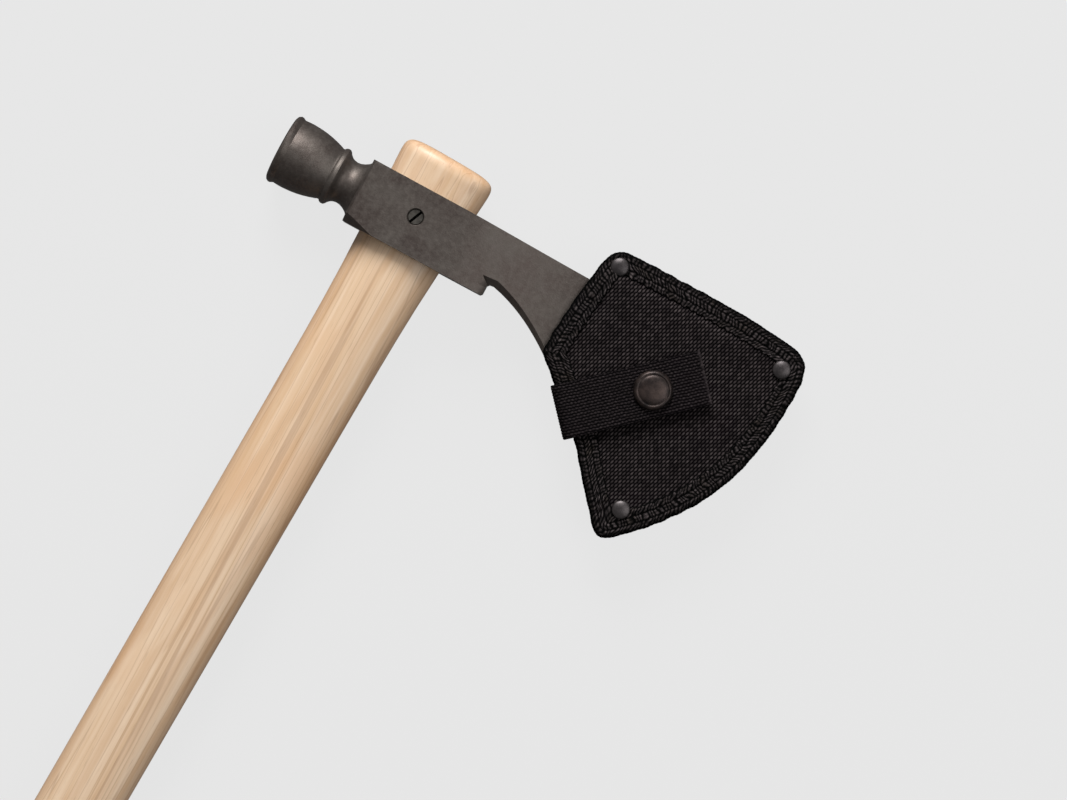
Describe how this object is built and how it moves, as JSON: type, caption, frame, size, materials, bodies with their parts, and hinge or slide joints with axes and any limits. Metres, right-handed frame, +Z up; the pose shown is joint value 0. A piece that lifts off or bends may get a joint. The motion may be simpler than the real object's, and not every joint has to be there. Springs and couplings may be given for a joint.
{
  "type": "hatchet",
  "caption": "Pipe-style hatchet: forged head with a hollow bowl as poll, bearded blade, slip-fit hickory handle, set screw and a riveted snap-strap blade sheath",
  "frame": {"origin": "middle of the hatchet's outline seen from above, on the surface it lies on", "axes": "+X along the head from the bowl to the cutting edge, +Y up the handle toward its top end, +Z up out of the cheek that carries the set screw; the hatchet lies on its other cheek"},
  "size_m": [0.2298, 0.5601, 0.031],
  "materials": {
    "hickory": "clear-finished hickory with fine long grain",
    "forged_steel": "forged steel with a dark brown-black oxide skin",
    "screw_steel": "dark slotted steel screw",
    "panel_nylon": "black basket-weave nylon",
    "welt_plastic": "stiff black spacer strip",
    "binding_tape": "black woven binding tape",
    "rivet_metal": "black lacquered rivets",
    "webbing": "black ribbed nylon webbing",
    "snap_black": "black lacquered snap cap, plain",
    "snap_metal": "plated snap parts"
  },
  "bodies": {
    "handle": {"handle": "hickory"},
    "head": {"head": "forged_steel"},
    "set_screw": {"set_screw": "screw_steel"},
    "sheath": {"sheath_front_panel": "panel_nylon", "sheath_back_panel": "panel_nylon", "edge_welt": "welt_plastic", "seam_binding": "binding_tape", "front_mouth_binding": "binding_tape", "back_mouth_binding": "binding_tape", "rivet_cap_mouth": "rivet_metal", "rivet_cap_toe": "rivet_metal", "rivet_cap_tip": "rivet_metal", "rivet_back_mouth": "rivet_metal", "rivet_back_toe": "rivet_metal", "rivet_back_tip": "rivet_metal", "strap_anchor": "webbing", "snap_stud": "snap_metal", "snap_post": "snap_metal"},
    "strap_bend": {"strap_bend": "webbing"},
    "strap": {"strap_flap": "webbing", "snap_cap": "snap_black", "snap_socket": "snap_metal"}
  },
  "joints": [
    {"name": "head_slide", "type": "slide", "parent": "handle", "child": "head", "axis": [-0.0297, -0.9996, 0], "range_m": [0, 0.546]},
    {"name": "set_screw_turn", "type": "hinge", "parent": "head", "child": "set_screw", "pos_m": [-0.0534, 0.251, 0.0285], "axis": [0, 0, 1], "range_deg": [0, 720]},
    {"name": "sheath_slide", "type": "slide", "parent": "head", "child": "sheath", "axis": [1, 0, 0], "range_m": [0, 0.11], "deforming": ["strap_bend"]},
    {"name": "strap_fold", "type": "hinge", "parent": "sheath", "child": "strap_bend", "pos_m": [0.034, 0.20914, 0.00738], "axis": [0.6662, -0.7455, 0.0209], "range_deg": [0, 85]},
    {"name": "strap_open", "type": "hinge", "parent": "strap_bend", "child": "strap", "pos_m": [0.03406, 0.20914, 0.02552], "axis": [0.6662, -0.7455, -0.0209], "range_deg": [0, 85]}
  ],
  "couplings": [
    {"joint": "strap_open", "follows": "strap_fold", "ratio": 1}
  ]
}
